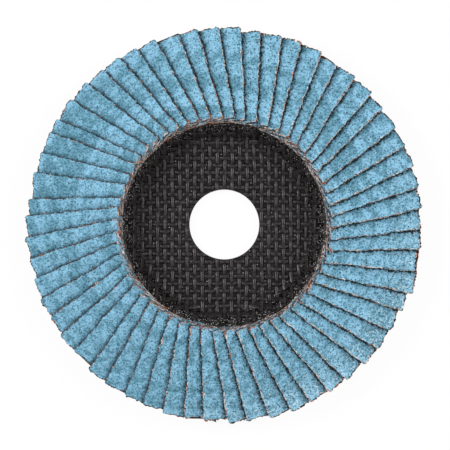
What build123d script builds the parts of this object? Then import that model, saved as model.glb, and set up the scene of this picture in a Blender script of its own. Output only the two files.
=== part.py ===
"""Flap disc, 125 x 22.23 mm, conical (type 29).

Strips of abrasive cloth lie fanwise round a backing plate pressed from woven glass fibre. Each flap
leans on its clockwise neighbour, and its lower edge sits in a ring of cured adhesive on the flange.

The frame: Z is the spindle axis, +Z is the abrasive side, and z = 0 is the raised back face of the
hub, on which the disc lies. Lengths are millimetres and angles are degrees.
"""

from build123d import *

import os
from math import cos, radians, sin, sqrt, tan

# Driving dimensions: the disc
disc_radius = 125 / 2
bore_radius = 22.23 / 2

# The backing plate, a sheet of one thickness pressed to a dish with a conical flange
plate_thickness = 2.6
plate_radius = 58
step_foot_radius = 28  # where the hub's flat face would meet the sloping wall
step_head_radius = 31.4  # where the sloping wall would meet the flange
step_height = 5.6
step_bend = 2.6  # radius of both bends of the wall, on the abrasive side
flange_slope = 8

# The woven face of the hub: a plain weave, whose threads show where they pass over
thread_spacing = 2.37
thread_relief = 0.15
float_length = 2.8  # the stretch of a thread that lies on top of a crossing
warp_width = 1.1  # the threads along Y are narrow cords
weft_width = 1.45  # the threads along X lie flatter and wider
weave_inner_radius = bore_radius + 0.4
weave_outer_radius = 26.2

# The flaps, flat strips that fall towards the rim as the flange does
flap_count = 58
flap_width = 18
flap_length = 29.6
flap_thickness = 1.0
flap_tilt = 19  # sideways lean that lifts one long edge over the clockwise neighbour
first_flap_angle = 92.8  # middle line of flap 1, from the X axis

# The adhesive
adhesive_under_edge = 0.3  # between the flange and a flap's lower edge
adhesive_inner_radius = 33.2
adhesive_outer_radius = 57.4
adhesive_height = 2.6  # before the flaps press in: more than they leave standing

# Worked out from the above
flap_pitch = 360 / flap_count
half_width = flap_width / 2


def flange_top(radius):
    """Height of the flange's abrasive side at a distance from the axis."""
    return plate_thickness + step_height - (radius - step_head_radius) * tan(radians(flange_slope))


# Directions of a flap that points along X: along it towards the rim, and across it up the lean
fall, lean = radians(flange_slope), radians(flap_tilt)
along = Vector(cos(fall), 0, -sin(fall))
across = Vector(sin(lean) * sin(fall), -cos(lean), sin(lean) * cos(fall))

# The raised corner of the outer end lies on the disc's rim, and the lower edge over the flange
raised_corner = half_width * across
outer_end_x = sqrt(disc_radius**2 - raised_corner.Y**2) - raised_corner.X
inner_end_x = outer_end_x - flap_length * along.X
lower_corner = Vector(inner_end_x, 0, 0) - raised_corner
lower_corner_radius = sqrt(lower_corner.X**2 + lower_corner.Y**2)
lower_corner_height = flange_top(lower_corner_radius) + adhesive_under_edge + flap_thickness / 2
inner_end = Vector(inner_end_x, 0, lower_corner_height + raised_corner.Z)
flap_end_plane = Plane(origin=inner_end, x_dir=-across, z_dir=along)


def over_hub(spot, size_x, size_y):
    """Whether a rectangle of this size round a spot lies wholly on the hub's woven ring."""
    nearest = Vector(abs(spot.X), abs(spot.Y)) - Vector(size_x, size_y) / 2
    farthest = Vector(abs(spot.X), abs(spot.Y)) + Vector(size_x, size_y) / 2
    return nearest.length > weave_inner_radius and farthest.length < weave_outer_radius


# Backing plate: the pressed sheet's section turned round the axis, with its weave on the hub
threads_each_way = 2 * int(weave_outer_radius / thread_spacing) + 1
warp_floats, weft_floats = [], []
for crossing in GridLocations(thread_spacing, thread_spacing, threads_each_way, threads_each_way):
    spot = crossing.position
    warp_on_top = round((spot.X + spot.Y) / thread_spacing) % 2 == 0
    if warp_on_top and over_hub(spot, warp_width, float_length):
        warp_floats.append(spot)
    elif not warp_on_top and over_hub(spot, float_length, weft_width):
        weft_floats.append(spot)

with BuildPart() as backing_plate:
    with BuildSketch(Plane.XZ):
        with BuildLine():
            face_line = Polyline(
                (bore_radius, plate_thickness),
                (step_foot_radius, plate_thickness),
                (step_head_radius, plate_thickness + step_height),
                (plate_radius, flange_top(plate_radius)),
            )
            offset(face_line, amount=plate_thickness, side=Side.RIGHT, kind=Kind.INTERSECTION)
        make_face()
        # Four corners lie round the step: each corner of the face line, then the one behind it
        step_corners = vertices().filter_by_position(Axis.X, step_foot_radius - 1, step_head_radius + 4)
        fillet(step_corners.sort_by(Axis.X)[::2], step_bend)
    revolve(axis=Axis.Z)
    with BuildSketch(Plane.XY.offset(plate_thickness)):
        with Locations(*warp_floats):
            Rectangle(warp_width, float_length)
        with Locations(*weft_floats):
            Rectangle(float_length, weft_width)
    extrude(amount=thread_relief)

# One flap: a strip of coated cloth, cut square at both ends
with BuildPart() as flap:
    with BuildSketch(flap_end_plane):
        Rectangle(flap_width, flap_thickness)
    extrude(amount=flap_length)

# Room for one flap in the adhesive: from its lower edge past the next flap's, open upwards
seat_width = 8
seat_depth = 5
with BuildPart() as flap_seat:
    with BuildSketch(flap_end_plane):
        with Locations((half_width, -flap_thickness / 2)):
            Rectangle(seat_width, seat_depth, align=(Align.MAX, Align.MIN))
    extrude(amount=flap_length)

# Adhesive ring: cured round the flaps' lower edges, so its top is a ratchet of flap seats
with BuildPart() as adhesive_bed:
    with BuildSketch(Plane.XZ):
        with BuildLine():
            Polyline(
                (adhesive_inner_radius, flange_top(adhesive_inner_radius)),
                (adhesive_outer_radius, flange_top(adhesive_outer_radius)),
                (adhesive_outer_radius, flange_top(adhesive_outer_radius) + adhesive_height),
                (adhesive_inner_radius, flange_top(adhesive_inner_radius) + adhesive_height),
                close=True,
            )
        make_face()
    revolve(axis=Axis.Z)
    with PolarLocations(0, flap_count, start_angle=first_flap_angle):
        add(flap_seat.part, mode=Mode.SUBTRACT)

os.makedirs("parts", exist_ok=True)

backing_plate.part.label = "backing_plate"
export_step(backing_plate.part, "parts/backing_plate.step")

adhesive_bed.part.label = "adhesive_bed"
export_step(adhesive_bed.part, "parts/adhesive_bed.step")

for number in range(flap_count):
    with BuildPart() as placed_flap:
        with PolarLocations(0, 1, start_angle=first_flap_angle - number * flap_pitch):
            add(flap.part)
    name = f"flap_{number + 1:02d}"
    placed_flap.part.label = name
    export_step(placed_flap.part, f"parts/{name}.step")
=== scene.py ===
"""Flap disc, 125 x 22.23 mm: strips of blue abrasive cloth fanned round a pressed glass-fibre plate.

The engineering model gives the sizes and places. This script gives the looks: it lays a detailed
flap over each plain one, weaves the plate's threads, and sets up the stage.

Lengths are metres, +Z is the abrasive side, and z = 0 is the hub's back face, on which it lies.
"""

import math
import random
from functools import partial

import bpy
import numpy as np
from bpy.props import FloatProperty, FloatVectorProperty, IntProperty, PointerProperty
from mathutils import Matrix, Vector


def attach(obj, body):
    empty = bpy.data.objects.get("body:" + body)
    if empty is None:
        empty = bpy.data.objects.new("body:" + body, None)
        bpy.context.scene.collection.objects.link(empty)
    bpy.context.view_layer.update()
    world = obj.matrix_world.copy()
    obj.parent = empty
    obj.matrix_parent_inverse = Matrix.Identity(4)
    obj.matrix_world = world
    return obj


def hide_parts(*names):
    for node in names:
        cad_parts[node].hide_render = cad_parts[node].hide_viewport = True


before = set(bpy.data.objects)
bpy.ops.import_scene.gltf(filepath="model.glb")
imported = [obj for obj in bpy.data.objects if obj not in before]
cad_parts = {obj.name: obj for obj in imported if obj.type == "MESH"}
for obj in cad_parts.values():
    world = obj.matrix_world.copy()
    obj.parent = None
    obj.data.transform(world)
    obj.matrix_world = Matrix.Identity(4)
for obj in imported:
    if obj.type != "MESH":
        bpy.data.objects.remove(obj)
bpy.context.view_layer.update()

bl_info = {
    "name": "Flap Disc",
    "version": (1, 0, 0),
    "blender": (4, 5, 0),
    "location": "View3D > Sidebar > Flap Disc",
    "description": "A 125 mm conical flap disc, detailed over its engineering model",
    "category": "Add Mesh",
}

MM = 0.001
BODY = "root"


def linear(hex_colour):
    """The linear RGBA of an sRGB hex colour."""
    levels = [int(hex_colour[i : i + 2], 16) / 255 for i in (1, 3, 5)]
    return [v / 12.92 if v <= 0.04045 else ((v + 0.055) / 1.055) ** 2.4 for v in levels] + [1.0]


def length(name, millimetres, description):
    """A length property, in metres, whose default is given in millimetres."""
    return FloatProperty(
        name=name, description=description, default=millimetres * MM, min=0, unit="LENGTH", precision=5
    )


def angle(name, degrees, description):
    """An angle property, in radians, whose default is given in degrees."""
    return FloatProperty(name=name, description=description, default=math.radians(degrees), subtype="ANGLE")


def colour(name, hex_colour, description):
    """A colour property whose default is an sRGB hex colour."""
    return FloatVectorProperty(
        name=name,
        description=description,
        default=linear(hex_colour),
        size=4,
        min=0,
        max=1,
        subtype="COLOR",
    )


class FlapDiscSizes(bpy.types.PropertyGroup):
    """The disc's sizes, the same as the engineering model's."""

    flap_count: IntProperty(name="Flaps", description="Flaps round the disc", default=58, min=3)
    flap_length: length("Flap length", 29.6, "From a flap's inner end to its outer end")
    flap_width: length("Flap width", 18, "Across a flap, mostly under its neighbours")
    flap_thickness: length("Flap thickness", 1.0, "Cloth and grain together")
    flap_tilt: angle("Flap tilt", 19, "Sideways lean on to the clockwise neighbour")
    flap_fall: angle("Flap fall", 8, "Fall of a flap towards the rim")
    first_flap: angle("First flap", 92.8, "Direction of flap 1's middle line from the X axis")
    inner_end_radius: length("Inner end radius", 32.20, "Middle of a flap's inner end")
    inner_end_height: length("Inner end height", 11.69, "Middle of a flap's inner end")
    bore_radius: length("Bore radius", 11.115, "The hole for the spindle flange")
    plate_thickness: length("Plate thickness", 2.6, "The pressed sheet, threads left out")
    plate_radius: length("Plate radius", 58, "The backing plate's rim")
    step_foot_radius: length("Step foot", 28, "Where the hub meets the sloping wall")
    step_head_radius: length("Step head", 31.4, "Where the sloping wall meets the flange")
    step_height: length("Step height", 5.6, "From the hub up to the flange")
    thread_spacing: length("Thread spacing", 2.37, "Middle to middle of the plate's threads")
    warp_width: length("Warp width", 1.1, "The narrow twin threads along Y")
    weft_width: length("Weft width", 1.45, "The flatter threads along X")
    thread_rise: length("Thread rise", 0.15, "How far threads stand over the sheet's face")


class FlapDiscColours(bpy.types.PropertyGroup):
    """The disc's colours and its floor's."""

    coat: colour("Coat", "#8ABFDB", "Blue size coat over the grain")
    # Also the darker ripple bands that serve as painted shade of the flaps' waves
    coat_thin: colour("Thin coat", "#669DB1", "Where the coat is thin and the grain shows through")
    coat_deep: colour("Coat in pits", "#46748A", "The coat between clumps of grain")
    # Also the tint of the painted shade near the flap above
    grain: colour("Grain", "#24404D", "Dark grain tips and the pits between them")
    # Painted shadow: the near-black put in the corner under a neighbour's raised edge
    corner: colour("Corner", "#0B0D0F", "The corner under a neighbour's edge")
    cloth: colour("Cloth", "#AD6541", "Cotton and polyester soaked in brown resin")
    # Dark cloth, for its darker runs and the darker outer ends
    cloth_dark: colour("Scorched cloth", "#2E211C", "Where the cut scorched the resin")
    thread: colour("Bare thread", "#E8DCCF", "Frayed threads with no resin on them")
    # Painted highlight: the pale colour of glints on grain faces
    glint_highlight: colour("Crystal", "#C9E0EA", "Bright faces of bare grain")
    resin: colour("Resin", "#0A0909", "Cured black phenolic resin")
    glass: colour("Glass thread", "#464142", "Glass threads under a film of resin")
    dust: colour("Dust", "#C9C6C4", "Grinding dust on the dark resin")
    epoxy: colour("Epoxy", "#1D1B1A", "The cured adhesive")
    floor: colour("Floor", "#F4F4F4", "The plain floor")


# ---------------------------------------------------------------- modelling helpers


def set_mode(mode):
    """Switch the active object between object mode and edit mode."""
    bpy.ops.object.mode_set(mode=mode)


def clear_selection():
    """Object mode with nothing selected."""
    if bpy.context.mode != "OBJECT":
        set_mode("OBJECT")
    bpy.ops.object.select_all(action="DESELECT")


def pick(*pieces):
    """Select only these pieces, the first of them active."""
    clear_selection()
    for piece in pieces:
        piece.select_set(True)
    bpy.context.view_layer.objects.active = pieces[0]


def pick_edges(piece, chosen):
    """Edit mode on the piece, with the edges selected whose two ends chosen(a, b) accepts."""
    pick(piece)
    set_mode("EDIT")
    bpy.ops.mesh.select_mode(type="EDGE")
    bpy.ops.mesh.select_all(action="DESELECT")
    set_mode("OBJECT")
    points = piece.data.vertices
    for edge in piece.data.edges:
        a, b = edge.vertices
        edge.select = chosen(points[a].co, points[b].co)
    set_mode("EDIT")


def extrude(x=0.0, y=0.0, z=0.0):
    """Extrude what is selected and move it."""
    bpy.ops.mesh.extrude_region_move(TRANSFORM_OT_translate={"value": (x, y, z)})


def face_out():
    """Turn the edited mesh's faces outwards, and leave edit mode."""
    bpy.ops.mesh.select_all(action="SELECT")
    bpy.ops.mesh.normals_make_consistent(inside=False)
    set_mode("OBJECT")


def settle(piece):
    """Put the piece's place into its mesh, so that its object sits at the origin."""
    pick(piece)
    bpy.ops.object.transform_apply(location=True, rotation=True, scale=True)


def modify(piece, kind, **settings):
    """Add one modifier with its settings and apply it."""
    pick(piece)
    modifier = piece.modifiers.new(kind.title(), kind)
    for name, value in settings.items():
        setattr(modifier, name, value)
    bpy.ops.object.modifier_apply(modifier=modifier.name)


def points_of(piece):
    """The piece's vertices as an array of rows."""
    flat = np.empty(len(piece.data.vertices) * 3)
    piece.data.vertices.foreach_get("co", flat)
    return flat.reshape(-1, 3)


def move_points(piece, points):
    """Put the piece's vertices where the rows say."""
    piece.data.vertices.foreach_set("co", np.ascontiguousarray(points, dtype=float).ravel())
    piece.data.update()


def note(piece, name, values):
    """Store one number for each vertex, for a material to read."""
    attribute = piece.data.attributes.new(name, "FLOAT", "POINT")
    attribute.data.foreach_set("value", np.ascontiguousarray(values, dtype=float))


def weigh(piece, name, chosen):
    """Make a vertex group of the vertices that an array of true and false picks."""
    group = piece.vertex_groups.new(name=name)
    group.add([int(i) for i in np.flatnonzero(chosen)], 1.0, "REPLACE")


def clouds(name, size, depth, coloured=False):
    """A cloudy texture whose lumps are about this size, for a Displace modifier.

    A coloured one moves points sideways as well, by its three channels.
    """
    texture = bpy.data.textures.new(name, "CLOUDS")
    texture.noise_scale = size
    texture.noise_depth = depth
    texture.noise_basis = "ORIGINAL_PERLIN"
    texture.cloud_type = "COLOR" if coloured else "GRAYSCALE"
    return texture


def hand_over(piece, name, slot, *nodes):
    """Name a finished piece, let it ride on the root body, and hide the engineering parts that it replaces.
    """
    piece.name = piece.data.name = name
    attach(piece, BODY)
    if nodes:
        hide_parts(*nodes)


# ---------------------------------------------------------------- materials


# Socket numbers of a Mix node that mixes colours
FACTOR, FIRST, SECOND = 0, 6, 7

# Wear and the painted corner shade differ between the disc's left and right halves, and change over this
# stretch of X
LEFT_END, RIGHT_END = -34 * MM, 4 * MM


def add_node(tree, kind, sockets=None, **settings):
    """Add one shader node: settings are its properties, and sockets its input values or links.

    A link is given as an output, or as a node when its first output in use is meant.
    """
    node = tree.nodes.new("ShaderNode" + kind)
    for name, value in settings.items():
        setattr(node, name, value)
    for socket, value in (sockets or {}).items():
        if isinstance(value, bpy.types.Node):
            value = next(output for output in value.outputs if output.enabled)
        if isinstance(value, bpy.types.NodeSocket):
            tree.links.new(value, node.inputs[socket])
        else:
            node.inputs[socket].default_value = value
    return node


def new_material(name):
    """An empty node material, add_node for its tree, and the piece's own coordinates."""
    material = bpy.data.materials.new(name)
    material.use_nodes = True
    material.node_tree.nodes.clear()
    add = partial(add_node, material.node_tree)
    return material, add, add("TexCoord").outputs["Object"]


def set_stops(ramp, *stops):
    """Give a colour ramp its stops, each a position and a colour, the first one lowest."""
    elements = ramp.color_ramp.elements
    elements.remove(elements[1])
    elements[0].position, elements[0].color = stops[0]
    for position, tone in stops[1:]:
        elements.new(position).color = tone


def finish(material, add, tone, relief, strength, depth, gloss):
    """Give a material its surface, and return it.

    Its relief is this strong and this deep, and gloss holds the sockets that make it dull or shiny.
    """
    bump = add("Bump", {"Height": relief, "Strength": strength, "Distance": depth})
    surface = add("BsdfPrincipled", {"Base Color": tone, "Normal": bump, **gloss})
    add("OutputMaterial", {"Surface": surface})
    return material


def right_half(add, place, at_left, at_right):
    """A value that changes from the disc's left half to its right half."""
    spot = add("SeparateXYZ", {0: place})
    ends = {"From Min": LEFT_END, "From Max": RIGHT_END, "To Min": at_left, "To Max": at_right}
    return add("MapRange", {"Value": spot.outputs["X"], **ends})


def stretched(add, place, strip_map, along, across, drift):
    """Coordinates for a pattern whose lumps are this long and wide on a strip, in millimetres.

    The pattern changes from flap to flap, because it also drifts over this distance in space.
    """
    drifting = add("VectorMath", {0: place, 1: (1 / (drift * MM),) * 3}, operation="MULTIPLY")
    return add(
        "VectorMath", {0: strip_map, 1: (1 / along, 1 / across, 0.0), 2: drifting}, operation="MULTIPLY_ADD"
    )


def grain_tips(add, place):
    """Where bare tips of grain stand out of the coat: grit 40 is about 0.4 mm across."""
    grains = add("TexVoronoi", {"Vector": place, "Scale": 1 / (0.70 * MM)})
    tips = add("MapRange", {"Value": grains, "From Min": 0.44, "From Max": 0.24})
    bare = add("SeparateXYZ", {0: grains.outputs["Color"]})
    bare = add("MapRange", {"Value": bare, "From Min": 0.10, "From Max": 0.90, "To Max": 0.9})
    for share in (bare, right_half(add, place, 0.7, 1.0)):
        tips = add("Math", {0: tips, 1: share}, operation="MULTIPLY")
    return tips


def painted_glints(add, place, along):
    """Where painted highlights of glints on the grain show: towards the outer ends, at the lower right
    only.
    """
    glints = add("TexNoise", {"Vector": place, "Scale": 1 / (0.6 * MM)})
    glints = add("MapRange", {"Value": glints, "From Min": 0.54, "From Max": 0.63, "To Max": 0.7})
    # The painted glints grow towards the outer ends, and show only at the lower right
    worn = add("MapRange", {"Value": along, "From Min": 18.0, "From Max": 27.0, "To Min": 0.12})
    spot = add("SeparateXYZ", {0: place}).outputs
    lower_right = add("Math", {0: spot["X"], 1: spot["Y"]}, operation="SUBTRACT")
    lower_right = add("MapRange", {"Value": lower_right, "From Min": 30 * MM, "From Max": 75 * MM})
    for share in (worn, lower_right):
        glints = add("Math", {0: glints, 1: share}, operation="MULTIPLY")
    return glints


def painted_corner_shade(add, place, along):
    """How far painted shade dims the coat near the flap above, and how far painted near-black shadow fills
    the corner.

    There is less of it at the open inner ends and on the left half.
    """
    shelter = add("Attribute", attribute_name="shelter").outputs["Fac"]
    ragged = add("TexNoise", {"Vector": place, "Scale": 1 / (0.8 * MM)})
    ragged = add(
        "MapRange", {"Value": ragged, "From Min": 0.3, "From Max": 0.7, "To Min": -0.60, "To Max": 0.60}
    )
    ragged = add("Math", {0: shelter, 1: ragged})
    closed = add("MapRange", {"Value": along, "From Min": 0.8, "From Max": 2.5, "To Min": 0.9})
    closed = add("Math", {0: closed, 1: right_half(add, place, 0.5, 1.0)}, operation="MULTIPLY")
    depths = []
    for start, full, most in ((2.4, 0.3, 0.30), (0.62, 0.28, 0.88)):
        depth = add(
            "MapRange",
            {"Value": ragged, "From Min": start, "From Max": full, "To Max": most},
            interpolation_type="SMOOTHSTEP",
        )
        depths.append(add("Math", {0: depth, 1: closed}, operation="MULTIPLY"))
    return depths


def edge_chips(add, place, along, from_side, from_outer):
    """Where the coat has chipped off along the exposed cuts, and where a long chip helped."""
    # The outer end is chipped furthest, and so is the inner corner
    outer_chips = add("Math", {0: from_outer, 1: 0.32}, operation="SUBTRACT")
    to_corner = add("Math", {0: from_side, 1: along})
    corner_chips = add("Math", {0: to_corner, 1: 0.25}, operation="MULTIPLY")
    cut = from_side
    for near in (along, outer_chips, corner_chips):
        cut = add("Math", {0: cut, 1: near}, operation="MINIMUM")
    chips = add("TexNoise", {"Vector": place, "Scale": 1 / (0.7 * MM), "Roughness": 0.6})
    reach = add(
        "MapRange", {"Value": chips, "From Min": 0.35, "From Max": 0.70, "To Min": -0.18, "To Max": 0.22}
    )
    reach = add("Math", {0: reach, 1: right_half(add, place, -0.08, 0.04)})
    # Here and there a longer chip, 2 to 4 mm, bares the brown cloth
    long_chips = add("TexNoise", {"Vector": place, "Scale": 1 / (3.5 * MM), "Detail": 1.0})
    long_chips = add("MapRange", {"Value": long_chips, "From Min": 0.67, "From Max": 0.71, "To Max": 0.7})
    reach = add("Math", {0: long_chips, 1: 0.22, 2: reach}, operation="MULTIPLY_ADD")
    return add("Math", {0: cut, 1: reach}, operation="LESS_THAN"), long_chips


def chipped_cloth(add, place, along, from_outer, long_chips, colours):
    """The colour of the cloth where the coat has chipped off it."""
    # The outer ends are darker, so less brown and bare cloth shows there
    darker_outer_end = add("MapRange", {"Value": from_outer, "From Min": 1.2, "From Max": 0.7, "To Max": -0.14})
    kind = add("TexNoise", {"Vector": place, "Scale": 1 / (1.2 * MM), "Roughness": 0.6})
    for shift in (darker_outer_end, right_half(add, place, -0.10, 0.04)):
        kind = add("Math", {0: kind, 1: shift})
    # The inner ends show more of their cloth
    inner = add("MapRange", {"Value": along, "From Min": 1.6, "From Max": 0.6})
    more = right_half(add, place, 0.13, -0.05)
    kind = add("Math", {0: inner, 1: more, 2: kind}, operation="MULTIPLY_ADD")
    ramp = add("ValToRGB", {0: kind})
    set_stops(ramp, (0.45, colours.cloth_dark), (0.49, colours.cloth), (0.55, colours.thread))
    return add("Mix", {FACTOR: long_chips, FIRST: ramp, SECOND: colours.cloth}, data_type="RGBA")


def bare_fibres(add, place, strip_map, along, colours):
    """Threads that run along the inner end and come through its worn coat, and their colour.

    They are drawn 0.3 mm across.
    """
    fibres = stretched(add, place, strip_map, along=0.3, across=2.0, drift=5)
    fibres = add("TexNoise", {"Vector": fibres, "Scale": 1.0, "Detail": 1.0})
    worn_end = add("MapRange", {"Value": along, "From Min": 1.3, "From Max": 0.2})
    fibres = add("Math", {0: worn_end, 1: 0.35, 2: fibres}, operation="MULTIPLY_ADD")
    showing = add("MapRange", {"Value": fibres, "From Min": 0.82, "From Max": 0.85, "To Max": 0.9})
    showing = add("Math", {0: showing, 1: right_half(add, place, 0.85, 0.4)}, operation="MULTIPLY")
    ramp = add("ValToRGB", {0: fibres})
    set_stops(ramp, (0.87, colours.cloth_dark), (0.91, colours.cloth), (0.99, colours.thread))
    return showing, ramp


def abrasive_coat(colours, sizes):
    """Zirconia grain bonded to cloth under a blue size coat.

    The grain stands up in dull dark tips through the blue, the coat is thin in cloudy patches that also
    serve as painted shade of the flaps' waves, and it has chipped off the cloth along the cuts. Painted
    shade and a near-black painted shadow lie in the corner under the next flap, and painted glints show
    at the lower right.
    """
    material, add, place = new_material("zirconia_coated_cloth")
    strip_map = add("UVMap", uv_map="strip")
    strip = add("SeparateXYZ", {0: strip_map}).outputs
    # Millimetres from the strip's inner end, its exposed side and its outer end
    along = strip["X"]
    from_side = add("Math", {0: strip["Y"], 1: sizes.flap_width / 2 / MM})
    from_outer = add("Math", {0: sizes.flap_length / MM, 1: along}, operation="SUBTRACT")

    # Ripples of thin coat cross the strip every few millimetres; their darker bands are also painted shade
    # of the flaps' gentle waves
    patches = stretched(add, place, strip_map, along=2.6, across=5.0, drift=20)
    patches = add("TexNoise", {"Vector": patches, "Scale": 1.0, "Roughness": 0.6})
    patches = add(
        "MapRange",
        {"Value": patches, "From Min": 0.36, "From Max": 0.64, "To Min": 0.12},
        interpolation_type="SMOOTHSTEP",
    )

    # Clumps of grain half hidden in the coat, drawn 0.6 mm across to show at all
    clumps = add("TexNoise", {"Vector": place, "Scale": 1 / (0.62 * MM), "Detail": 3.0, "Roughness": 0.75})
    pits = add("Math", {0: patches, 1: 0.08, 2: clumps}, operation="MULTIPLY_ADD")
    pits = add("MapRange", {"Value": pits, "From Min": 0.57, "From Max": 0.44})

    tips = grain_tips(add, place)
    painted_shade, painted_corner_shadow = painted_corner_shade(add, place, along)
    chipped, long_chips = edge_chips(add, place, along, from_side, from_outer)
    cloth = chipped_cloth(add, place, along, from_outer, long_chips, colours)
    showing, fibres = bare_fibres(add, place, strip_map, along, colours)
    tone = colours.coat_thin
    for share, layer in (
        (patches, colours.coat),
        (pits, colours.coat_deep),
        (tips, colours.grain),
        # Painted highlights of glints at the lower right
        (painted_glints(add, place, along), colours.glint_highlight),
        # Painted shade near the flap above, in the grain's colour, then painted near-black shadow in its
        # corner
        (painted_shade, colours.grain),
        (painted_corner_shadow, colours.corner),
        (chipped, cloth),
        (showing, fibres),
    ):
        tone = add("Mix", {FACTOR: share, FIRST: tone, SECOND: layer}, data_type="RGBA")

    height = add("Math", {0: clumps, 1: tips})
    gloss = {"Roughness": 0.85, "Specular IOR Level": 0.3}
    return finish(material, add, tone, height, 0.8, 0.15 * MM, gloss)


def cut_cloth(colours, sizes):
    """The cut edge and the back of cotton and polyester cloth soaked in brown phenolic resin.

    Its threads end in a ragged line, orange-brown where resin holds them, pale where they frayed
    and near black in some runs and towards the outer ends.
    """
    material, add, place = new_material("resin_soaked_cloth")
    strip_map = add("UVMap", uv_map="strip")
    along = add("SeparateXYZ", {0: strip_map}).outputs["X"]

    # Runs of resin-brown, bare and near-black thread ends, 1 to 2 mm long
    runs = add("TexNoise", {"Vector": place, "Scale": 1 / (1.0 * MM), "Detail": 3.0, "Roughness": 0.65})
    # The outer ends are darker, and the inner ends show more of their bare cloth
    end = sizes.flap_length / MM
    darker_outer_end = add(
        "MapRange", {"Value": along, "From Min": end - 0.7, "From Max": end - 0.2, "To Max": -0.12}
    )
    for shift in (darker_outer_end, right_half(add, place, -0.11, 0.04)):
        runs = add("Math", {0: runs, 1: shift})
    inner = add("MapRange", {"Value": along, "From Min": 1.0, "From Max": 0.2})
    more = right_half(add, place, 0.09, -0.07)
    runs = add("Math", {0: inner, 1: more, 2: runs}, operation="MULTIPLY_ADD")
    ramp = add("ValToRGB", {0: runs})
    set_stops(
        ramp,
        (0.45, colours.cloth_dark),
        (0.48, colours.cloth),
        (0.52, colours.thread),
        (0.60, colours.coat_thin),
    )

    # The back's sateen weave, 0.5 mm from thread to thread
    weave = add("TexNoise", {"Vector": place, "Scale": 1 / (0.5 * MM), "Detail": 1.0})
    return finish(material, add, ramp, weave, 0.7, 0.15 * MM, {"Roughness": 0.8})


def frayed_thread(colours):
    """Loose cotton and polyester threads: dull, pale, some still brown with resin."""
    material, add, place = new_material("frayed_cotton_thread")
    runs = add("TexNoise", {"Vector": place, "Scale": 1 / (2.5 * MM)})
    bare = add("MapRange", {"Value": runs, "From Min": 0.54, "From Max": 0.64})
    tone = add("Mix", {FACTOR: bare, FIRST: colours.cloth, SECOND: colours.thread}, data_type="RGBA")
    surface = add("BsdfPrincipled", {"Base Color": tone, "Roughness": 0.8})
    add("OutputMaterial", {"Surface": surface})
    return material


def landed_dust(add, place, sizes):
    """Specks of dust, 0.2 to 0.4 mm, thick on the wall and nearly none on the hub."""
    specks = add("TexVoronoi", {"Vector": place, "Scale": 1 / (0.5 * MM)})
    spots = add("MapRange", {"Value": specks, "From Min": 0.40, "From Max": 0.15, "To Max": 0.85})
    chance = add("SeparateXYZ", {0: specks.outputs["Color"]})
    radius = add("VectorMath", {0: place, 1: (1.0, 1.0, 0.0)}, operation="MULTIPLY")
    radius = add("VectorMath", {0: radius}, operation="LENGTH")
    # The share that stays clean falls over the wall's foot, and rises again under the flaps, where the bare
    # black resin stands for painted shade
    foot = sizes.step_foot_radius
    at_foot = {"From Min": foot - 0.6 * MM, "From Max": foot + 2.0 * MM}
    clean = add("MapRange", {"Value": radius, **at_foot, "To Min": 0.955, "To Max": 0.30})
    at_head = {"From Min": foot + 2.8 * MM, "From Max": foot + 3.6 * MM}
    shade_under_flaps = add("MapRange", {"Value": radius, **at_head, "To Max": 0.36})
    clean = add("Math", {0: clean, 1: shade_under_flaps})
    lands = add("Math", {0: chance, 1: clean}, operation="GREATER_THAN")
    return add("Math", {0: spots, 1: lands}, operation="MULTIPLY")


def pressed_resin(colours, sizes):
    """Black phenolic resin pressed through glass cloth: hard, half glossy, pitted and dusty.

    Dust from the flaps sticks to it in pale specks, most of them on the wall round the hub.
    """
    material, add, place = new_material("pressed_phenolic_resin")
    mottle = add("TexNoise", {"Vector": place, "Scale": 1 / (1.2 * MM), "Detail": 3.0})
    # The plain weave of the glass cloth shows through in low relief: one bump per crossing
    turns = (math.pi / sizes.thread_spacing,) * 3
    waves = add("VectorMath", {0: place, 1: turns}, operation="MULTIPLY")
    waves = add("VectorMath", {0: waves}, operation="COSINE")
    waves = add("SeparateXYZ", {0: waves}).outputs
    weave = add("Math", {0: waves["X"], 1: waves["Y"]}, operation="MULTIPLY")
    relief = add("Math", {0: weave, 1: 0.35, 2: mottle}, operation="MULTIPLY_ADD")
    pale = add("MapRange", {"Value": relief, "From Min": 0.48, "From Max": 0.95, "To Max": 0.6})
    tone = colours.resin
    for share, layer in ((pale, colours.glass), (landed_dust(add, place, sizes), colours.dust)):
        tone = add("Mix", {FACTOR: share, FIRST: tone, SECOND: layer}, data_type="RGBA")

    gloss = {"Roughness": 0.4, "IOR": 1.55, "Specular IOR Level": 0.12}
    return finish(material, add, tone, relief, 0.5, 0.3 * MM, gloss)


def glass_thread(colours, name, bare, shine):
    """Glass-fibre threads under a thin film of black resin, dark grey where the film is worn.

    bare is how much of the glass shows: the tight warp rubs bare and shines, and the flat weft
    stays covered and dull.
    """
    material, add, place = new_material(name)
    streaks = add("TexNoise", {"Vector": place, "Scale": 1 / (0.7 * MM), "Detail": 3.0})
    film = add("MapRange", {"Value": streaks, "From Min": 0.35, "From Max": 0.68, "To Max": bare})
    tone = add("Mix", {FACTOR: film, FIRST: colours.resin, SECOND: colours.glass}, data_type="RGBA")
    gloss = {"Roughness": 0.28, "IOR": 1.55, "Specular IOR Level": shine}
    return finish(material, add, tone, streaks, 0.4, 0.1 * MM, gloss)


def cured_epoxy(colours):
    """Poured epoxy adhesive: nearly black, smooth and glossy, with small bubbles."""
    material, add, place = new_material("poured_epoxy")
    bubbles = add("TexVoronoi", {"Vector": place, "Scale": 1 / (1.4 * MM)})
    haze = add("MapRange", {"Value": bubbles, "From Min": 0.25, "From Max": 0.10, "To Max": 0.4})
    tone = add("Mix", {FACTOR: haze, FIRST: colours.epoxy, SECOND: colours.glass}, data_type="RGBA")
    gloss = {"Roughness": 0.25, "IOR": 1.55}
    return finish(material, add, tone, bubbles, 0.3, 0.2 * MM, gloss)


# ---------------------------------------------------------------- the flaps


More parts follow.
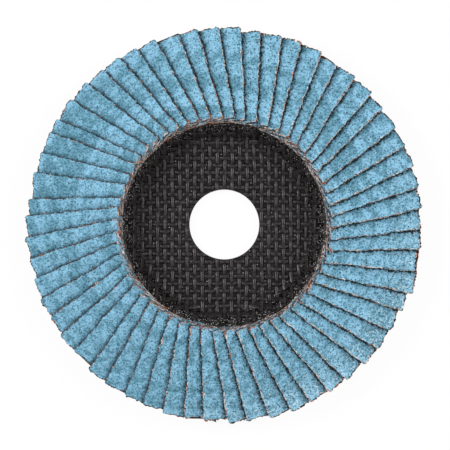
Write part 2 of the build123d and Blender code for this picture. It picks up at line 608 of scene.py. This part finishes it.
def flap_place(sizes, turn=0.0):
    """The matrix that lays a flat strip as a flap along +X, turned about the axis."""
    fall, lean = sizes.flap_fall, sizes.flap_tilt
    along = Vector((math.cos(fall), 0, -math.sin(fall)))
    lower_side = -Vector(
        (math.sin(lean) * math.sin(fall), -math.cos(lean), math.sin(lean) * math.cos(fall))
    )
    up = along.cross(lower_side)
    axes = Matrix((along, lower_side, up)).transposed().to_4x4()
    inner_end = Vector((sizes.inner_end_radius, 0, sizes.inner_end_height))
    return Matrix.Rotation(turn, 4, "Z") @ Matrix.Translation(inner_end) @ axes


def cut_strip(sizes, coat, cloth):
    """One flat strip: X along it from its inner end, its exposed edge at -Y, its coat up.

    The band that shows gets a fine mesh, for its grain and fraying.
    """
    long, wide, thick = sizes.flap_length, sizes.flap_width, sizes.flap_thickness
    band, near = 7.0 * MM, 0.01 * MM
    fine_along, fine_across = 88, 20  # faces of about 0.34 mm
    clear_selection()
    bpy.ops.mesh.primitive_grid_add(
        x_subdivisions=fine_along,
        y_subdivisions=fine_across,
        size=1,
        location=(long / 2, (band - wide) / 2, -thick / 2),
    )
    strip = bpy.context.object
    bpy.ops.transform.resize(value=(long, band, 1))
    settle(strip)

    # The rest of the width lies under the neighbours, and stays coarse
    hidden_edge, coarse_steps = band - wide / 2, 4
    pick_edges(strip, lambda a, b: min(a.y, b.y) > hidden_edge - near)
    for _ in range(coarse_steps):
        extrude(y=(wide - band) / coarse_steps)

    # Two layers of cloth and one of grain
    bpy.ops.mesh.select_all(action="SELECT")
    for share in (0.3, 0.35, 0.35):
        extrude(z=share * thick)
    face_out()

    strip.data.materials.append(cloth)
    strip.data.materials.append(coat)
    grain_layer = 0.15 * thick  # height of its lower side
    for face in strip.data.polygons:
        face.material_index = 1 if face.center.z > grain_layer + near else 0

    # The exposed outer corner is worn round
    points = points_of(strip)
    worn = 0.7 * MM
    off_centre = points[:, :2] - (long - worn, worn - wide / 2)
    far = np.maximum(np.hypot(off_centre[:, 0], off_centre[:, 1]), worn)
    corner = (off_centre[:, 0] > 0) & (off_centre[:, 1] < 0)
    points[corner, :2] += (off_centre * (worn / far - 1)[:, None])[corner]
    move_points(strip, points)

    # The cloth frays all round, the grain chips off at the brim, and its face is rough
    on_rim = (
        (points[:, 0] < near)
        | (points[:, 0] > long - near)
        | (np.abs(points[:, 1]) > wide / 2 - near)
        | (corner & (far > worn * 0.999))
    )
    on_cloth, on_face = points[:, 2] < grain_layer + near, points[:, 2] > thick / 2 - near
    weigh(strip, "fray", on_rim & on_cloth)
    weigh(strip, "brim", on_rim & on_face)
    weigh(strip, "face", on_face)

    uv_map = strip.data.uv_layers.new(name="strip")
    corner_points = np.empty(len(strip.data.loops), dtype=int)
    strip.data.loops.foreach_get("vertex_index", corner_points)
    uv_map.data.foreach_set("uv", (points[corner_points, :2] / MM).ravel())
    return strip


class FLAPDISC_OT_flaps(bpy.types.Operator):
    """Lay the abrasive flaps over their engineering solids"""

    bl_idname = "flap_disc.flaps"
    bl_label = "Flaps"

    def execute(self, context):
        sizes, colours = context.scene.flap_disc_sizes, context.scene.flap_disc_colours
        strip = cut_strip(sizes, abrasive_coat(colours, sizes), cut_cloth(colours, sizes))
        places = self.hand_laid(sizes)
        # Each layer of roughness: its lumps, how far they move points, and which points
        any_way = {"direction": "RGB_TO_XYZ"}
        roughness = (
            (clouds("waves", 6.0 * MM, 1, coloured=True), 0.9 * MM, any_way),
            (clouds("wobble", 1.8 * MM, 3, coloured=True), 0.9 * MM, any_way),
            (clouds("grit", 0.7 * MM, 1), 0.35 * MM, {"vertex_group": "face"}),
            (clouds("fray", 0.55 * MM, 2), 0.9 * MM, {"vertex_group": "fray", "mid_level": 0.58}),
            (clouds("chips", 0.8 * MM, 2), 1.7 * MM, {"vertex_group": "brim", "mid_level": 0.52}),
        )
        smooth_under = math.radians(50)
        for number, place in enumerate(places):
            pick(strip)
            bpy.ops.object.duplicate()
            flap = context.object
            flap.matrix_world = place
            settle(flap)
            self.note_shelter(flap, places[number - 1], sizes)
            for lumps, strength, settings in roughness:
                modify(
                    flap, "DISPLACE", texture=lumps, strength=strength, texture_coords="LOCAL", **settings
                )
            bpy.ops.object.shade_smooth_by_angle(angle=smooth_under)
            name = f"flap_{number + 1:02d}"
            hand_over(flap, f"abrasive_{name}", "abrasive_cloth", name)
        bpy.data.objects.remove(strip)
        return {"FINISHED"}

    def hand_laid(self, sizes):
        """The flaps' places: their spacing drifts round the disc, and each is a little off."""
        dice = random.Random(58)
        drift, steady_flap = 0.8, 22  # degrees, and a flap that the drift doesn't move
        off_turn, off_yaw = 0.38, 0.35  # degrees
        off_radius, off_height, off_length = 0.08 * MM, 0.03 * MM, 0.25 * MM
        climb = 0.19 * MM  # up the neighbour, for each degree that a flap is turned clockwise
        places = []
        for number in range(sizes.flap_count):
            off = drift * math.sin(2 * math.pi * (number - steady_flap) / sizes.flap_count)
            off += dice.gauss(0, off_turn)
            turn = sizes.first_flap - math.radians(number * 360 / sizes.flap_count + off)
            shift = (dice.gauss(0, off_radius), 0, climb * off + dice.gauss(0, off_height))
            yaw = Matrix.Rotation(math.radians(dice.gauss(0, off_yaw)), 4, "Z")
            growth = Matrix.Scale(1 + dice.gauss(0, off_length) / sizes.flap_length, 4, (1, 0, 0))
            places.append(flap_place(sizes, turn) @ Matrix.Translation(shift) @ yaw @ growth)
        return places

    def note_shelter(self, flap, cover, sizes):
        """Note how far outside the flap that covers this one each point lies, in millimetres."""
        side, below = -sizes.flap_width / 2, -sizes.flap_thickness / 2
        start = (cover @ Vector((0, side, below))).to_2d()
        run = ((cover @ Vector((sizes.flap_length, side, below))).to_2d() - start).normalized()
        offset = points_of(flap)[:, :2] - np.array(start)
        beside = offset[:, 0] * run.y - offset[:, 1] * run.x
        before = -offset @ np.array(run)
        note(flap, "shelter", np.maximum(beside, before) / MM)


# ---------------------------------------------------------------- the backing plate


# A thread's section: how deep its rim lies under the weave's middle plane, how far the thread
# sways over and under that plane, and how high it is crowned
ROOT, SWAY, CROWN = 0.30 * MM, 0.15 * MM, 0.26 * MM


def behind(line, thickness):
    """The corners of a section line set back by the sheet's thickness, with mitred corners."""
    line = [Vector(corner) for corner in line]
    backs = []
    for a, b in zip(line, line[1:]):
        run = (b - a).normalized()
        shift = Vector((run.y, -run.x)) * thickness
        backs.append((a + shift, b + shift))
    corners = [backs[0][0]]
    for (a, b), (c, d) in zip(backs, backs[1:]):
        first, second = b - a, d - c
        t = (c - a).cross(second) / first.cross(second)
        corners.append(a + first * t)
    corners.append(backs[-1][1])
    return [tuple(corner) for corner in corners]


def turned(section, segments):
    """A closed section of (radius, height) corners carried round the axis.

    One ring is drawn at the first corner, then extruded and resized from corner to corner.
    """
    clear_selection()
    radius, height = section[0]
    bpy.ops.mesh.primitive_circle_add(
        vertices=segments, radius=radius, fill_type="NOTHING", location=(0, 0, height)
    )
    ring = bpy.context.object
    set_mode("EDIT")
    bpy.ops.mesh.select_all(action="SELECT")
    for next_radius, next_height in section[1:] + section[:1]:
        extrude(z=next_height - height)
        growth = next_radius / radius
        bpy.ops.transform.resize(
            value=(growth, growth, 1), center_override=(0, 0, next_height), orient_type="GLOBAL"
        )
        radius, height = next_radius, next_height
    bpy.ops.mesh.select_all(action="SELECT")
    bpy.ops.mesh.remove_doubles(threshold=0.001 * MM)
    face_out()
    settle(ring)
    return ring


def bevel_ring(piece, radius, height, width, segments):
    """Round the ring of edges at this radius and height."""

    near = 0.05 * MM

    def on_ring(a, b):
        return all(abs(math.hypot(p.x, p.y) - radius) < near and abs(p.z - height) < near for p in (a, b))

    pick_edges(piece, on_ring)
    bpy.ops.mesh.bevel(offset=width, segments=segments, affect="EDGES")
    set_mode("OBJECT")


def thread_float(wide, spacing, twin):
    """The stretch of a thread along Y that shows over a crossing, diving under the next ones.

    Its rim lies flat under the resin, where a fan of faces closes it.
    """
    # A twin is low between its two threads, and a flat thread is crowned in the middle
    if twin:
        long, sway, middle, beside = 1.96 * spacing, 0.6 * SWAY, 0.55, 1.0
    else:
        long, sway, middle, beside = 1.8 * spacing, SWAY, 1.0, 0.86
    clear_selection()
    bpy.ops.mesh.primitive_grid_add(x_subdivisions=4, y_subdivisions=6, size=1)
    thread = bpy.context.object
    bpy.ops.transform.resize(value=(wide, long, 1))
    settle(thread)
    points = points_of(thread)
    side = np.abs(points[:, 0]) / wide * 2
    crown = np.where(side < 0.01, middle, beside)
    wave = np.cos(points[:, 1] / spacing * math.pi)
    on_rim = (side > 0.99) | (np.abs(points[:, 1]) > long * 0.499)
    points[:, 2] = np.where(on_rim, 0, ROOT + sway * wave + CROWN * crown)
    move_points(thread, points)
    pick_edges(thread, lambda a, b: a.z < ROOT / 4 and b.z < ROOT / 4)
    bpy.ops.mesh.edge_face_add()
    bpy.ops.mesh.poke()
    face_out()
    return thread


def lay_threads(thread, spacing, start, reach):
    """Repeat a thread at every second crossing each way, from one starting crossing."""
    count = int(reach / spacing) + 1
    first = -(count // 2) * 2 * spacing
    thread.location = (first + start[0] * spacing, first + start[1] * spacing, 0)
    settle(thread)
    for axis in range(2):
        step = [0.0, 0.0, 0.0]
        step[axis] = 2 * spacing
        modify(
            thread,
            "ARRAY",
            count=count + 1,
            use_relative_offset=False,
            use_constant_offset=True,
            constant_offset_displace=step,
        )


class FLAPDISC_OT_backing_plate(bpy.types.Operator):
    """Press the backing plate and weave the threads on its hub"""

    bl_idname = "flap_disc.backing_plate"
    bl_label = "Backing plate"

    def execute(self, context):
        sizes, colours = context.scene.flap_disc_sizes, context.scene.flap_disc_colours
        resin = pressed_resin(colours, sizes)
        warp = glass_thread(colours, "resin_coated_glass_warp", 0.95, 0.26)
        weft = glass_thread(colours, "resin_coated_glass_weft", 0.7, 0.16)
        sheet = sizes.plate_thickness
        flange_height = sheet + sizes.step_height
        rim_height = flange_height - (sizes.plate_radius - sizes.step_head_radius) * math.tan(
            sizes.flap_fall
        )
        face_line = [
            (sizes.bore_radius, sheet),
            (sizes.step_foot_radius, sheet),
            (sizes.step_head_radius, flange_height),
            (sizes.plate_radius, rim_height),
        ]
        back_line = behind(face_line, sheet)
        section = face_line + back_line[::-1]
        plate = turned(section, 384)
        face_bend, back_bend, rim_edge, bore_edge = 1.6 * MM, 1.2 * MM, 0.35 * MM, 0.25 * MM
        for corners, width, steps in (
            (face_line[1:3], face_bend, 5),
            (back_line[1:3], back_bend, 4),
            ((face_line[3], back_line[3]), rim_edge, 2),
            ((face_line[0], back_line[0]), bore_edge, 2),
        ):
            for corner in corners:
                bevel_ring(plate, *corner, width, steps)
        plate.data.materials.append(resin)

        # The resin lies a little below the threads, and deepest at the wall's foot
        sink, ease = 0.42 * MM, 0.8 * MM
        points = points_of(plate)
        radius = np.hypot(points[:, 0], points[:, 1])
        foot, head = sizes.step_foot_radius, sizes.step_head_radius
        slope = sizes.step_height / (head - foot)
        on_face = points[:, 2] > sheet * 0.6 + np.maximum(radius - foot, 0) * slope
        depth = np.interp(
            radius, (foot - ease, foot + ease, head - ease, head), (sink, 1.6 * sink, sink, 0)
        )
        points[on_face, 2] -= depth[on_face]
        move_points(plate, points)

        weave_plane = sheet + sizes.thread_rise - SWAY - CROWN
        shown = 0.87  # of a thread's width, because its rim is sunk
        threads = []
        for width, twin, material, starts in (
            (sizes.warp_width * 1.15, True, warp, ((0, 0), (1, 1))),
            (sizes.weft_width * 1.1, False, weft, ((1, 0), (0, 1))),
        ):
            for start in starts:
                thread = thread_float(width / shown, sizes.thread_spacing, twin)
                if not twin:
                    thread.matrix_world = Matrix.Rotation(math.pi / 2, 4, "Z")
                    settle(thread)
                thread.data.materials.append(material)
                group = len(thread.data.vertices)
                lay_threads(thread, sizes.thread_spacing, start, sizes.step_head_radius)
                self.trim(thread, group, sizes, weave_plane - ROOT)
                threads.append(thread)
        for thread in threads:
            pick(thread)
            bpy.ops.object.shade_smooth()
        pick(plate)
        bpy.ops.object.shade_smooth_by_angle(angle=math.radians(35))
        pick(plate, *threads)
        bpy.ops.object.join()
        hand_over(plate, "woven_backing_plate", "backing_plate", "backing_plate")
        return {"FINISHED"}

    def trim(self, thread, group, sizes, floor):
        """Drop the floats off the hub, and seat the rest on the hub and the wall.

        group is how many points each float has, and floor is the height of its rim on the hub.
        """
        bore, foot = sizes.bore_radius, sizes.step_foot_radius
        middle = points_of(thread).reshape(-1, group, 3).mean(axis=1)
        reach = np.hypot(middle[:, 0], middle[:, 1])
        bore_gap, climb = 0.4 * MM, 2.6 * MM
        lost = (reach < bore + bore_gap) | (reach > foot + climb)
        pick(thread)
        set_mode("EDIT")
        bpy.ops.mesh.select_mode(type="VERT")
        bpy.ops.mesh.select_all(action="DESELECT")
        set_mode("OBJECT")
        thread.data.vertices.foreach_set("select", np.repeat(lost, group))
        set_mode("EDIT")
        bpy.ops.mesh.delete(type="VERT")
        set_mode("OBJECT")

        # Pressing pulled the cloth a little askew, but left it flat
        heights = points_of(thread)[:, 2]
        modify(
            thread,
            "DISPLACE",
            texture=clouds("pull", 14 * MM, 1, coloured=True),
            strength=0.9 * MM,
            direction="RGB_TO_XYZ",
            texture_coords="LOCAL",
        )
        points = points_of(thread)
        points[:, 2] = heights
        radius = np.hypot(points[:, 0], points[:, 1])
        thread_end = bore + 0.12 * MM
        points[:, :2] *= np.maximum(1, thread_end / radius)[:, None]

        # The threads climb the wall round its bend, and stand out a little more there
        slope = sizes.step_height / (sizes.step_head_radius - foot)
        ease, stand_out, in_full = 0.3 * MM, 0.10 * MM, 3.5 * MM
        past_foot = ease * np.log1p(np.exp((radius - foot) / ease))
        lift = np.clip((radius - foot) / in_full, 0, 1) * stand_out
        points[:, 2] += floor + past_foot * slope + lift
        move_points(thread, points)


# ---------------------------------------------------------------- adhesive and loose threads


class FLAPDISC_OT_adhesive(bpy.types.Operator):
    """Finish the adhesive ring, whose engineering solid stays in view"""

    bl_idname = "flap_disc.adhesive"
    bl_label = "Adhesive"

    def execute(self, context):
        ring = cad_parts["adhesive_bed"]
        ring.data.materials.clear()
        ring.data.materials.append(cured_epoxy(context.scene.flap_disc_colours))
        return {"FINISHED"}


class FLAPDISC_OT_loose_threads(bpy.types.Operator):
    """Scatter frayed threads along the flaps' cut ends"""

    bl_idname = "flap_disc.loose_threads"
    bl_label = "Loose threads"

    def execute(self, context):
        sizes, colours = context.scene.flap_disc_sizes, context.scene.flap_disc_colours
        material = frayed_thread(colours)
        dice = random.Random(7)
        strand_count, tuft_count = 380, 20
        shapes = []
        for bend in (40, 85, 130):
            clear_selection()
            bpy.ops.mesh.primitive_cylinder_add(
                vertices=4, radius=0.065 * MM, depth=1.5 * MM, rotation=(0, math.pi / 2, 0)
            )
            shape = context.object
            settle(shape)
            set_mode("EDIT")
            for joint in (-0.5 * MM, -0.17 * MM, 0.17 * MM, 0.5 * MM):
                bpy.ops.mesh.select_all(action="SELECT")
                bpy.ops.mesh.bisect(plane_co=(joint, 0, 0), plane_no=(1, 0, 0))
            set_mode("OBJECT")
            modify(shape, "SIMPLE_DEFORM", deform_method="BEND", deform_axis="Z", angle=math.radians(bend))
            shape.data.materials.append(material)
            shapes.append(shape)
        strands = []
        tufted = dice.sample(range(sizes.flap_count), tuft_count)
        for _ in range(strand_count):
            pick(dice.choice(shapes))
            bpy.ops.object.duplicate()
            strand = context.object
            # Half lie along the inner cut, and half stand in tufts at the raised corners
            if dice.random() < 0.5:
                number = dice.randrange(sizes.flap_count)
                across, spin = dice.uniform(1.0, 9.0), math.pi / 2 + dice.gauss(0, 0.3)
                along = dice.uniform(-0.30, 0.20) * MM
            else:
                number = dice.choice(tufted)
                across, spin = dice.uniform(-0.15, 0.9), dice.uniform(0, 2 * math.pi)
                along = dice.uniform(-0.30, 1.0) * MM
            turn = sizes.first_flap - math.radians(number * 360 / sizes.flap_count)
            # Half of those on the right half go over to the left
            if math.cos(turn) > 0 and dice.random() < 0.5:
                turn += math.pi
            across = across * MM - sizes.flap_width / 2
            spot = Matrix.Translation((along, across, sizes.flap_thickness * dice.uniform(-0.2, 0.6)))
            spin = Matrix.Rotation(spin, 4, "Z")
            roll = Matrix.Rotation(dice.uniform(-0.35, 0.35), 4, "X")
            size = Matrix.Scale(dice.uniform(0.5, 1.1), 4)
            strand.matrix_world = flap_place(sizes, turn) @ spot @ spin @ roll @ size
            settle(strand)
            strands.append(strand)
        pick(*strands)
        bpy.ops.object.join()
        bpy.ops.object.shade_smooth()
        hand_over(context.object, "frayed_threads", "abrasive_cloth")
        for shape in shapes:
            bpy.data.objects.remove(shape)
        return {"FINISHED"}


# ---------------------------------------------------------------- the stage


WHITE = (1.0, 1.0, 1.0, 1.0)


class FLAPDISC_OT_stage(bpy.types.Operator):
    """Set up the floor, the light and the camera"""

    bl_idname = "flap_disc.stage"
    bl_label = "Stage"

    def execute(self, context):
        clear_selection()
        bpy.ops.mesh.primitive_plane_add(size=3, location=(0, 0, -0.2 * MM))
        floor = context.object
        floor.name = "floor"
        floor.data.materials.append(self.floor_finish(context.scene.flap_disc_colours))

        world = bpy.data.worlds.new("soft_studio")
        context.scene.world = world
        world.use_nodes = True
        world.node_tree.nodes.clear()
        add = partial(add_node, world.node_tree)
        light = add("Background", {"Color": WHITE, "Strength": 0.6})
        white = add("Background", {"Color": WHITE})
        mixed = add("MixShader", {0: self.seen_white(add), 1: light, 2: white})
        add("OutputWorld", {"Surface": mixed})

        # One soft box on each side, 0.35 m across, the left one brighter
        self.lamp("left_softbox", (-0.57, 0.18, 0.65), 0.35, 4.3)
        self.lamp("right_softbox", (0.57, 0.18, 0.65), 0.35, 2.7)

        camera_data = bpy.data.cameras.new("camera")
        camera = bpy.data.objects.new("camera", camera_data)
        context.scene.collection.objects.link(camera)
        flap_plane, stand_off, view_width = 11.7 * MM, 0.8, 141.7 * MM
        camera.location = (0.2 * MM, -0.16 * MM, flap_plane + stand_off)
        camera_data.lens = camera_data.sensor_width * stand_off / view_width
        camera_data.clip_start = 0.01
        context.scene.camera = camera
        context.scene.view_settings.view_transform = "Standard"
        return {"FINISHED"}

    def seen_white(self, add):
        """1 for camera, glossy and transmitted rays, which see a white surround."""
        rays = add("LightPath").outputs
        seen = rays["Is Camera Ray"]
        for other in ("Is Glossy Ray", "Is Transmission Ray"):
            seen = add("Math", {0: seen, 1: rays[other]}, operation="MAXIMUM")
        return seen

    def floor_finish(self, colours):
        """Matt white paper, lit up to white for the camera, with the disc's shadow left on it."""
        material, add, _ = new_material("matt_white_paper")
        share = add("Math", {0: self.seen_white(add), 1: 0.94}, operation="MULTIPLY")
        paper = add("BsdfDiffuse", {"Color": colours.floor, "Roughness": 0.5})
        white = add("Emission", {"Color": WHITE})
        mixed = add("MixShader", {0: share, 1: paper, 2: white})
        add("OutputMaterial", {"Surface": mixed})
        return material

    def lamp(self, name, place, size, watts):
        """A square soft light that looks at the disc."""
        lamp_data = bpy.data.lights.new(name, "AREA")
        lamp_data.size = size
        lamp_data.energy = watts
        lamp = bpy.data.objects.new(name, lamp_data)
        bpy.context.scene.collection.objects.link(lamp)
        lamp.location = place
        lamp.rotation_euler = (-Vector(place)).to_track_quat("-Z", "Y").to_euler()


# ---------------------------------------------------------------- the add-on


class FLAPDISC_PT_pieces(bpy.types.Panel):
    """The disc's pieces and its stage"""

    bl_label = "Flap Disc"
    bl_space_type = "VIEW_3D"
    bl_region_type = "UI"
    bl_category = "Flap Disc"

    def draw(self, context):
        column = self.layout.column()
        for operator in OPERATORS:
            column.operator(operator.bl_idname)
        for group in (context.scene.flap_disc_sizes, context.scene.flap_disc_colours):
            for name in group.__annotations__:
                column.prop(group, name)


OPERATORS = (
    FLAPDISC_OT_backing_plate,
    FLAPDISC_OT_adhesive,
    FLAPDISC_OT_flaps,
    FLAPDISC_OT_loose_threads,
    FLAPDISC_OT_stage,
)
CLASSES = (FlapDiscSizes, FlapDiscColours, *OPERATORS, FLAPDISC_PT_pieces)


def register():
    """Register the classes and attach the settings to the scene."""
    for entry in CLASSES:
        bpy.utils.register_class(entry)
    bpy.types.Scene.flap_disc_sizes = PointerProperty(type=FlapDiscSizes)
    bpy.types.Scene.flap_disc_colours = PointerProperty(type=FlapDiscColours)


def unregister():
    """Take the settings and the classes away again."""
    del bpy.types.Scene.flap_disc_sizes
    del bpy.types.Scene.flap_disc_colours
    for entry in reversed(CLASSES):
        bpy.utils.unregister_class(entry)


def main():
    """Build the disc and its stage."""
    register()
    bpy.ops.flap_disc.backing_plate()
    bpy.ops.flap_disc.adhesive()
    bpy.ops.flap_disc.flaps()
    bpy.ops.flap_disc.loose_threads()
    bpy.ops.flap_disc.stage()


if __name__ == "__main__":
    main()
